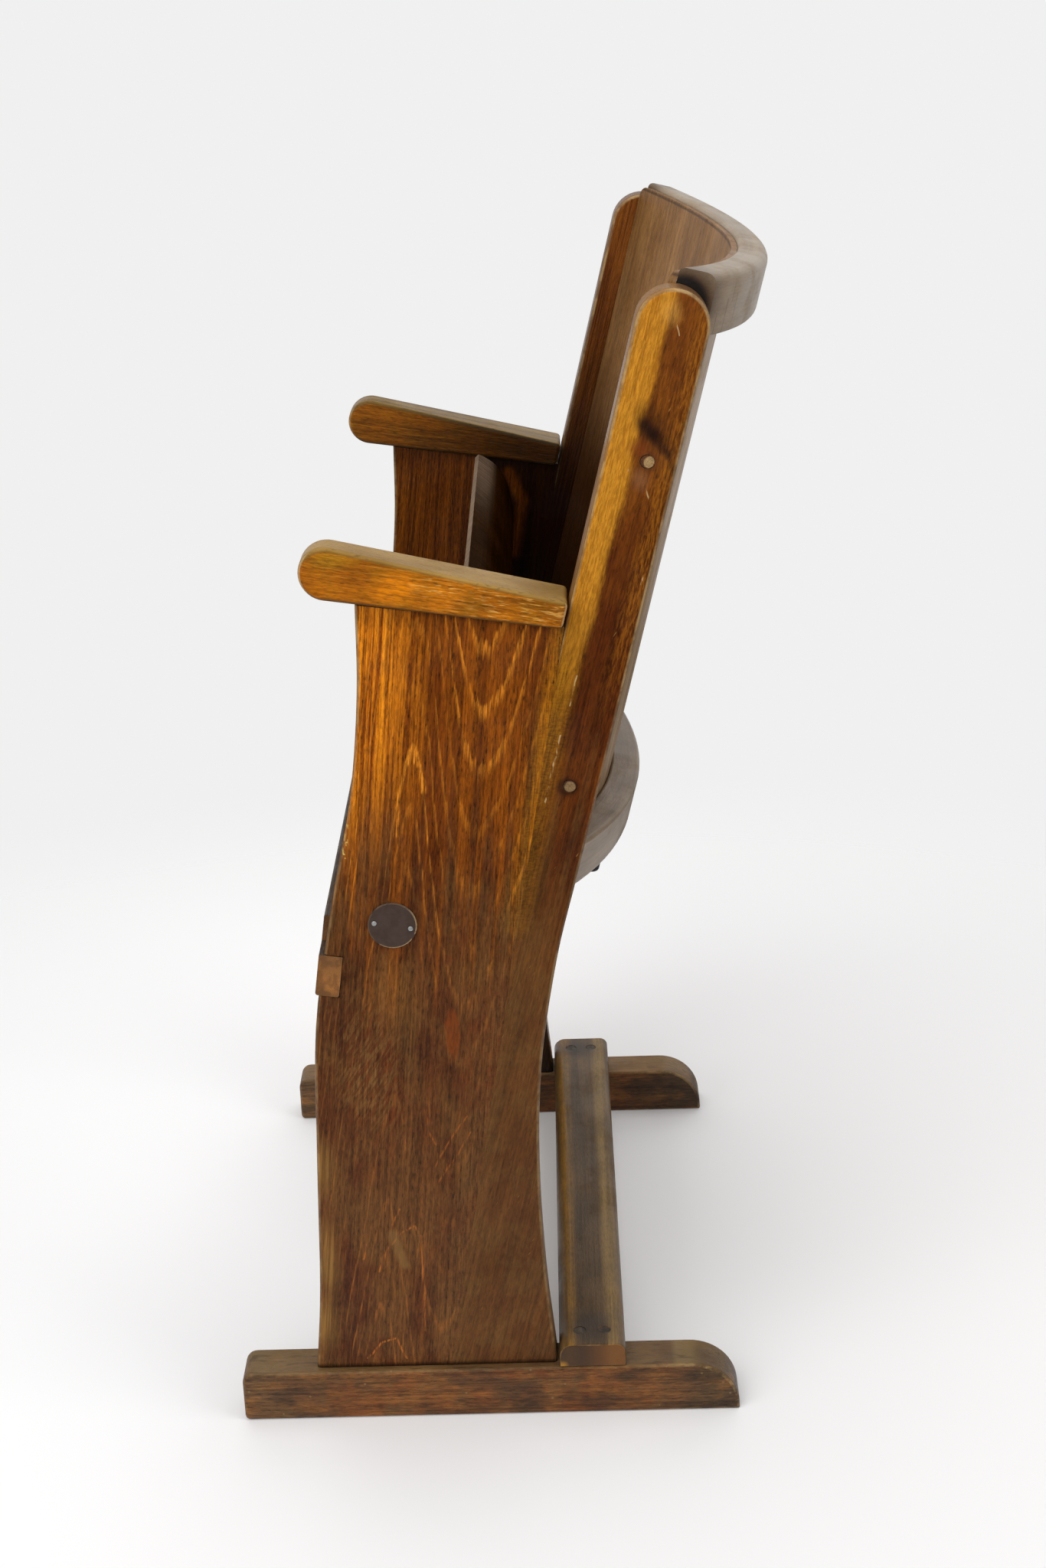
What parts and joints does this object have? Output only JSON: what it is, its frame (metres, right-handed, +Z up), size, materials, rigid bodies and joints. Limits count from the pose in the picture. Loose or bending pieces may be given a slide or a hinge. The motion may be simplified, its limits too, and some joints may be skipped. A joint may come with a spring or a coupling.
{
  "type": "cinema seat",
  "caption": "Free-standing wooden cinema seat: solid side frames on sled feet, sloping armrests, bentwood back and a moulded plywood seat that tips up on pivots.",
  "frame": {"origin": "middle of the bounding box, on the floor", "axes": "+X to the sitter's left, +Y to the rear, +Z up; the sitter faces -Y and the seat rests tipped up"},
  "size_m": [0.51, 0.4213, 0.8702],
  "materials": {
    "beech_stained": "worn reddish-brown stain under satin varnish",
    "beech_arm": "bright orange-brown varnish, greyed on top",
    "beech_feet": "olive-brown varnish, worn along the arrises",
    "beech_rail": "grey-brown satin varnish",
    "beech_under_seat": "plain beech, thin varnish",
    "back_plywood": "brown satin varnish with upright grain",
    "seat_plywood": "dark brown satin varnish",
    "dowel_wood": "bare light wood",
    "pivot_plate_brown": "dark brown paint with a bare worn rim",
    "rivet_steel": "bare worn steel",
    "screw_steel": "darkened steel",
    "bumper_rubber": "matt black"
  },
  "bodies": {
    "frame": {"side_board_left": "beech_stained", "side_board_right": "beech_stained", "post_left": "beech_stained", "post_right": "beech_stained", "arm_left": "beech_arm", "arm_right": "beech_arm", "foot_left": "beech_feet", "foot_right": "beech_feet", "top_rail": "beech_rail", "lower_rail": "beech_rail", "back_cleat_left": "beech_rail", "back_cleat_right": "beech_rail", "stretcher": "beech_rail", "front_rail": "beech_rail", "back_panel": "back_plywood", "lower_dowel_left": "dowel_wood", "lower_dowel_right": "dowel_wood", "upper_dowel_left": "dowel_wood", "upper_dowel_right": "dowel_wood", "pivot_cup_left": "pivot_plate_brown", "pivot_cup_right": "pivot_plate_brown", "front_rivet_left": "rivet_steel", "front_rivet_right": "rivet_steel", "rear_rivet_left": "rivet_steel", "rear_rivet_right": "rivet_steel", "stretcher_screw_left_front": "screw_steel", "stretcher_screw_left_rear": "screw_steel", "stretcher_screw_right_front": "screw_steel", "stretcher_screw_right_rear": "screw_steel", "bumper_left": "bumper_rubber", "bumper_right": "bumper_rubber"},
    "seat": {"seat_panel": "seat_plywood", "seat_bearer_left": "beech_under_seat", "seat_bearer_right": "beech_under_seat", "seat_batten_front": "beech_under_seat", "seat_batten_rear": "beech_under_seat", "pivot_pin_left": "screw_steel", "pivot_pin_right": "screw_steel"}
  },
  "joints": [
    {"name": "seat_tip", "type": "hinge", "parent": "frame", "child": "seat", "pos_m": [0, -0.07488, 0.4167], "axis": [1, 0, 0], "range_deg": [0, 107]}
  ]
}
